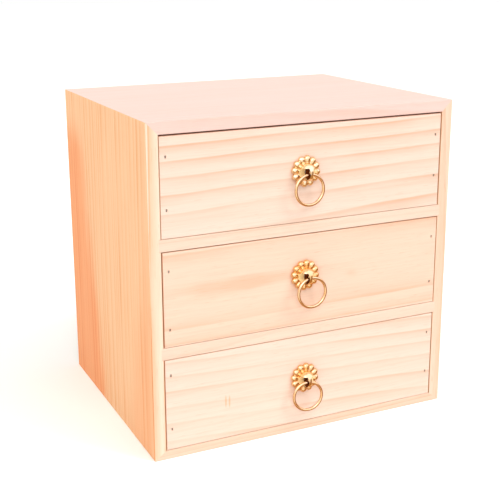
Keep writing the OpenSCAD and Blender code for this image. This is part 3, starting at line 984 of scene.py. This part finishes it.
# %% Sizes of the ball and its eye
# All in mm. The eye's place is its middle, below the ball's and out from the drawer front.
BALL, BALL_UP = 6.5, 4.1
ARC_STEPS = 24
PLATE = [(0, 0), (9.1, 0), (9.1, 0.7), (8.6, 1.2), (BALL, 1.2), (BALL, 2.2), (BALL, 3.2)]
THROAT, THROAT_HALF = 2.25, 0.6
MOUTH, WEB_HALF = 4.5, 1.7
EYE_END = 8.5
EYE_ROOF = 4.15
EYE_PLACE = (0, -0.6, 7.3)
BACK_CUT = [(0, -6), (16, -6), (16, 0), (0, 0)]
SCREW_HOLE = [(0, -1), (2.05, -1), (2.05, 3.25), (0, 3.25)]


def knob_profile():
    points = PLATE[:]
    for step in range(1, ARC_STEPS):
        angle = math.radians(90 * step / ARC_STEPS)
        points.append((BALL * math.cos(angle), BALL_UP + BALL * math.sin(angle)))
    return points + [(0.0, BALL_UP + BALL)]


def eye_cutter():
    """A spool along x whose top is cut flat, so the knob stays whole above the ring."""
    half = [(THROAT, THROAT_HALF), (MOUTH, WEB_HALF), (MOUTH, EYE_END), (0, EYE_END)]
    spool = turned([(radius, -along) for radius, along in reversed(half)] + half, 64)
    spool.transform(Matrix.Rotation(math.pi / 2, 4, "Y"))
    shape = bmesh.new()
    shape.from_mesh(spool)
    saw(shape, (0, EYE_ROOF * MM, 0), (0, 1, 0))
    bmesh.ops.recalc_face_normals(shape, faces=shape.faces)
    shape.transform(Matrix.Translation(tuple(value * MM for value in EYE_PLACE)))
    return to_mesh(shape, "eye")


print("the ball is", 2 * BALL, "mm across and its eye", 2 * THROAT, "mm")

# %% Petals and ball, melted into one casting and cut
SKIN = 0.14 * MM
MELT_ROUNDS = 6


def rough_casting(metal):
    """Petals and ball as they were made, one inside the other."""
    holder = to_object(bpy.data.meshes.new("petals"), "petals_holder")
    add_tree(holder, petal_work, {"Metal": metal})
    petals = plain_mesh(holder, "petals")
    whole = bmesh.new()
    whole.from_mesh(petals.data)
    whole.from_mesh(turned(knob_profile()))
    bpy.data.objects.remove(petals)
    return to_object(to_mesh(whole, "rough casting"), "rough casting")


def melt_and_cut(piece, name):
    fuse = piece.modifiers.new("one skin", "REMESH")
    fuse.mode = "VOXEL"
    fuse.voxel_size = SKIN
    fuse.use_smooth_shade = True
    melt = piece.modifiers.new("melted joints", "SMOOTH")
    melt.iterations = MELT_ROUNDS
    eye = to_object(eye_cutter(), "eye")
    back = to_object(turned(BACK_CUT, 64), "back_cut")
    drill = to_object(turned(SCREW_HOLE, 48), "drill")
    for cutter in (eye, back, drill):
        cut = piece.modifiers.new("cut " + cutter.name, "BOOLEAN")
        cut.object = cutter
        cut.operation = "DIFFERENCE"
        cut.solver = "EXACT"
    made = plain_mesh(piece, name)
    for cutter in (eye, back, drill):
        bpy.data.objects.remove(cutter)
    return made


print("skin of the casting:", round(SKIN / MM, 2), "mm")

# %% The finished rosettes
UNDER_SURFACE = 0.12
ABOVE_PETALS = 2.6
CRISP = math.radians(40)


def mark_inside(mesh):
    """Marks the faces inside the eye, and apart from them the walls of its two wide mouths."""
    inside, mouths = [], []
    for face in mesh.polygons:
        x, y, z = face.center / MM
        sunk = BALL - math.hypot(x, y, z - BALL_UP) > UNDER_SURFACE and z > ABOVE_PETALS
        inside.append(float(sunk and abs(x) < WEB_HALF))
        mouths.append(float(sunk and abs(x) >= WEB_HALF))
    # Faces inside the eye are painted dark as shade in the gilt.
    mesh.attributes.new("inside the eye", "FLOAT", "FACE").data.foreach_set("value", inside)
    mesh.attributes.new("mouth of the eye", "FLOAT", "FACE").data.foreach_set("value", mouths)


def make_rosette(drawer, metal):
    low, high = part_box(drawer + "_rosette")
    seat = ((low[0] + high[0]) / 2, high[1], (low[2] + high[2]) / 2)
    piece = melt_and_cut(rough_casting(metal), drawer + "_rosette_casting")
    mark_inside(piece.data)
    piece.data.transform(Matrix.Translation(seat) @ Matrix.Rotation(math.pi / 2, 4, "X"))
    piece.data.materials.clear()
    piece.data.materials.append(metal)
    piece.data.shade_smooth()
    piece.data.set_sharp_from_angle(angle=CRISP)
    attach(piece, drawer + "_drawer")
    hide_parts(drawer + "_rosette")
    print(drawer, "rosette:", len(piece.data.polygons), "faces")


for drawer in DRAWERS:
    make_rosette(drawer, gilt[drawer])

# %% [markdown]
# ## Rings
# A ring is a length of round wire bent to a circle. Where it hangs, how far it leans and how far
# it is turned are read off the CAD ring, and a finer torus takes its place.

# %% Measuring the CAD ring
def measure_ring(node):
    """Its middle, the way it faces, its width over all and the thickness of its wire."""
    corners = np.array([tuple(vertex.co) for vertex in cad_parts[node].data.vertices])
    centre = (corners.min(0) + corners.max(0)) / 2
    flat = np.linalg.svd(corners - corners.mean(0), full_matrices=False)[2][2]
    across = np.linalg.norm(corners - centre, axis=1).max() * 2
    wire = 2 * np.abs((corners - centre) @ flat).max()
    print(node, round(across / MM, 1), "mm across,", round(wire / MM, 2), "mm wire")
    return Vector(centre), Vector(flat).normalized(), across, wire


# %% The finished rings
BEND_STEPS, WIRE_STEPS = 144, 32


def bent_wire(centre, axis, bend, wire):
    side = axis.cross(Vector((0, 0, 1))).normalized()
    rise = side.cross(axis).normalized()
    shape = bmesh.new()
    rows = []
    for k in range(BEND_STEPS):
        turn = math.tau * k / BEND_STEPS
        out = side * math.cos(turn) + rise * math.sin(turn)
        middle = centre + out * bend
        row = []
        for n in range(WIRE_STEPS):
            roll = math.tau * n / WIRE_STEPS
            spot = middle + (out * math.cos(roll) + axis * math.sin(roll)) * wire / 2
            row.append(shape.verts.new(spot))
        rows.append(row)
    for k in range(BEND_STEPS):
        near, far = rows[k], rows[(k + 1) % BEND_STEPS]
        for n in range(WIRE_STEPS):
            after = (n + 1) % WIRE_STEPS
            shape.faces.new((near[n], far[n], far[after], near[after]))
    bmesh.ops.recalc_face_normals(shape, faces=shape.faces)
    return shape


def make_ring(drawer, metal):
    centre, axis, across, wire = measure_ring(drawer + "_ring")
    shape = bent_wire(centre, axis, (across - wire) / 2, wire)
    made = to_mesh(shape, drawer + "_ring_wire")
    made.shade_smooth()
    made.materials.append(metal)
    piece = to_object(made, drawer + "_ring_wire")
    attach(piece, drawer + "_ring_pull")
    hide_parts(drawer + "_ring")


for drawer in DRAWERS:
    make_ring(drawer, wire_gilt)
print("rings:", len(DRAWERS))

# %% [markdown]
# ## Pull screws
# Inside each drawer a screw head holds the rosette. The CAD screw already has its head, its
# crossed slots and its shank, so it is only given softened edges and steel.

# %% The screws
for drawer in DRAWERS:
    held = [drawer + "_front", drawer + "_rosette"]
    board(drawer + "_screw", drawer + "_drawer", steel, held, EASED["screw"])

# %% [markdown]
# ## Floor and light
# The photograph is cut out on white, with soft light from above and the right, and a warmer one
# from the left. A large pale floor is lit so that it reads as white, and wide suns stand for the
# studio's soft boxes, because they light a whole floor evenly where a lamp would leave a pool.

# %% Floor
FLOOR_RADIUS = 8.0


def make_floor():
    shape = bmesh.new()
    bmesh.ops.create_circle(shape, cap_ends=True, segments=96, radius=FLOOR_RADIUS)
    mesh = to_mesh(shape, "floor")
    material, b, shader = new_material("pale floor")
    cloud = b.noise(b.place(), (3, 3, 3), 3.0)
    tint = b.blend(cloud, colour(0.93, 0.955, 0.975), colour(0.95, 0.97, 0.985))
    b.paint(shader, tint, 0.9)
    shader.inputs["Specular IOR Level"].default_value = 0.1
    mesh.materials.append(material)
    piece = to_object(mesh, "floor")
    piece.visible_glossy = False
    piece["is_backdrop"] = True


make_floor()
print("the floor is", 2 * FLOOR_RADIUS, "m across")

# %% Lights
def soft_sun(name, azimuth, elevation, radiance, spread, tint=(1, 1, 1)):
    """radiance is what a white card facing the sun would show; spread is the sun's width in degrees."""
    a, e = math.radians(azimuth), math.radians(elevation)
    away = Vector((math.sin(a) * math.cos(e), -math.cos(a) * math.cos(e), math.sin(e)))
    data = bpy.data.lights.new(name, "SUN")
    data.energy = radiance * math.pi
    data.angle = math.radians(spread)
    data.color = tint
    lamp = to_object(data, name)
    lamp.rotation_euler = away.to_track_quat("Z", "Y").to_euler()
    lamp.location = away
    lamp.visible_glossy = False


# Azimuth and elevation in degrees, radiance, and width in degrees
soft_sun("overhead", 10, 72, 0.60, 60)
soft_sun("from_camera", -20, 34, 0.27, 24)
soft_sun("from_right", 48, 40, 0.40, 24)
soft_sun("from_left", -92, 22, 0.44, 50, tint=(1.0, 0.90, 0.76))
print("suns:", len(bpy.data.lights))

# %% [markdown]
# ## The room that gilt shows
# What gilt shows is the room. The suns are hidden from it, and the room that it sees is drawn in
# the world instead: a bright ceiling, the white table in front, a window at the upper left, and
# warm darkness at the sides and below. The wood is lit by a plain soft room, and the camera sees
# white.

# %% The room
world = bpy.data.worlds.new("studio")
bpy.context.scene.world = world
world.use_nodes = True
studio = Bench(world.node_tree)
ray = world.node_tree.nodes.new("ShaderNodeLightPath").outputs
aim = studio.add("ShaderNodeTexCoord", out="Generated")


def near(direction, start, end):
    """Rises from 0 to 1 as a ray turns towards a direction."""
    unit = Vector(direction).normalized()
    facing = {0: aim, 1: unit}
    closeness = studio.add("ShaderNodeVectorMath", facing, "Value", operation="DOT_PRODUCT")
    return studio.rise(closeness, start, end)


# Each thing in the room: the way it lies, how near a ray starts and stops to meet it, its light
table = ((-0.41, -0.90, 0.0), 0.50, 0.86, colour(1.15, 1.02, 0.92))
ground = ((0, 0, -1), 0.40, 0.80, colour(0.50, 0.24, 0.09))
ceiling = ((0, 0, 1), 0.02, 0.38, colour(1.40, 1.34, 1.50))
window = ((-0.60, -0.45, 0.66), 0.92, 0.97, colour(3.0, 2.9, 3.0))
shine = colour(0.40, 0.19, 0.085)
for direction, start, end, light in (table, ground, ceiling, window):
    shine = studio.blend(near(direction, start, end), shine, light)
room = studio.blend(ray["Is Glossy Ray"], colour(0.35, 0.31, 0.27), shine)
room = studio.blend(ray["Is Camera Ray"], room, colour(1, 1, 1))
back_light = world.node_tree.nodes["Background"]
studio.fill(back_light.inputs["Color"], room)
back_light.inputs["Strength"].default_value = 1.0
print("the room has a table, ground, ceiling and window")

# %% Collect the sizes and finish
looks_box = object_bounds()
both = {"cad": cad_box, "visual": looks_box}
both = {name: [[float(value) for value in corner] for corner in box] for name, box in both.items()}
print("looks box, mm:", [[round(v / MM, 1) for v in corner] for corner in looks_box])
